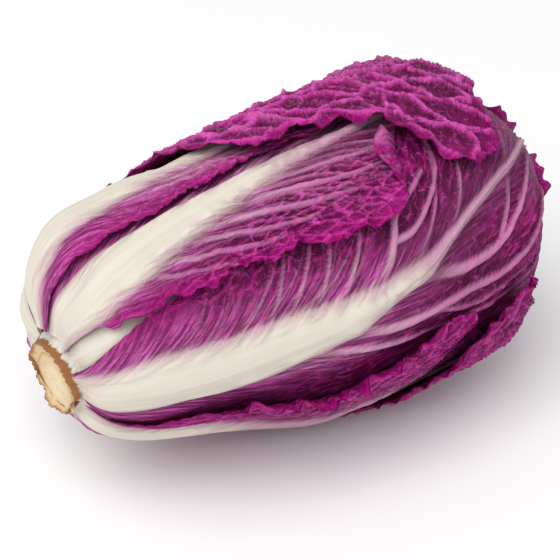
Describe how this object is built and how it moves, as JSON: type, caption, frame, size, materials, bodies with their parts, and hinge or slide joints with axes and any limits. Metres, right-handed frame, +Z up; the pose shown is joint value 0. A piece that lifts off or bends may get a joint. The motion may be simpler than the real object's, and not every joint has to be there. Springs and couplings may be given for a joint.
{
  "type": "napa cabbage",
  "caption": "Whole head of purple napa cabbage lying on its side: wrapped crinkled leaves with broad white ribs, and a cut stem.",
  "frame": {"origin": "on the table, under the middle of the bounding box", "axes": "+Z up, +X along the head from the cut stem to the crown, -Y the side that the white ribs of the front and upper front leaves face"},
  "size_m": [0.2814, 0.1644, 0.1666],
  "materials": {
    "cut_stem": "dry cut stem, buff with a brown rim",
    "inner_leaf": "fresh leaf, satin",
    "outer_leaf": "fresh crinkled leaf, satin, with a white rib"
  },
  "bodies": {
    "root": {"stem": "cut_stem", "heart": "inner_leaf", "inner_leaf_front": "inner_leaf", "inner_leaf_under": "inner_leaf", "inner_leaf_back": "inner_leaf", "front_leaf": "outer_leaf", "back_leaf": "outer_leaf", "upper_front_leaf": "outer_leaf", "lower_front_leaf": "outer_leaf", "top_leaf": "outer_leaf", "under_leaf": "outer_leaf", "crown_leaf": "outer_leaf"}
  },
  "joints": []
}
